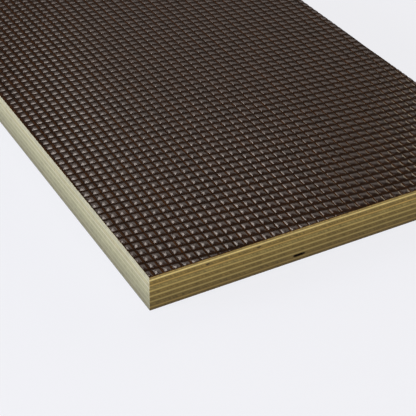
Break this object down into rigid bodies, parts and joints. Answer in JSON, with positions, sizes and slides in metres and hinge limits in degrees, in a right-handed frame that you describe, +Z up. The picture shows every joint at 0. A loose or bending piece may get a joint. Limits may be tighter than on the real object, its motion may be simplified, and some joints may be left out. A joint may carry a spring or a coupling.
{
  "type": "anti-slip film faced plywood",
  "caption": "Flat rectangular plywood board with crossed veneers, a wire-mesh imprinted anti-slip film on top and a smooth film underneath, for decks, ramps and formwork.",
  "frame": {"origin": "centre of the underside", "axes": "+X across the face grain, +Y along the face grain and the board's length, +Z up out of the anti-slip face"},
  "size_m": [0.2, 0.3, 0.0185],
  "materials": {
    "phenolic_film": "dark brown phenolic resin film, satin, pressed",
    "lengthwise_veneer": "birch veneer with the grain along the length, raw saw-cut edges",
    "crosswise_veneer": "birch veneer with the grain across the board, raw saw-cut edges"
  },
  "bodies": {
    "root": {"anti_slip_film": "phenolic_film", "face_veneer": "lengthwise_veneer", "core_veneer_02": "crosswise_veneer", "core_veneer_03": "lengthwise_veneer", "core_veneer_04": "crosswise_veneer", "core_veneer_05": "lengthwise_veneer", "core_veneer_06": "crosswise_veneer", "core_veneer_07": "lengthwise_veneer", "core_veneer_08": "crosswise_veneer", "core_veneer_09": "lengthwise_veneer", "core_veneer_10": "crosswise_veneer", "core_veneer_11": "lengthwise_veneer", "core_veneer_12": "crosswise_veneer", "back_veneer": "lengthwise_veneer", "back_film": "phenolic_film"}
  },
  "joints": []
}
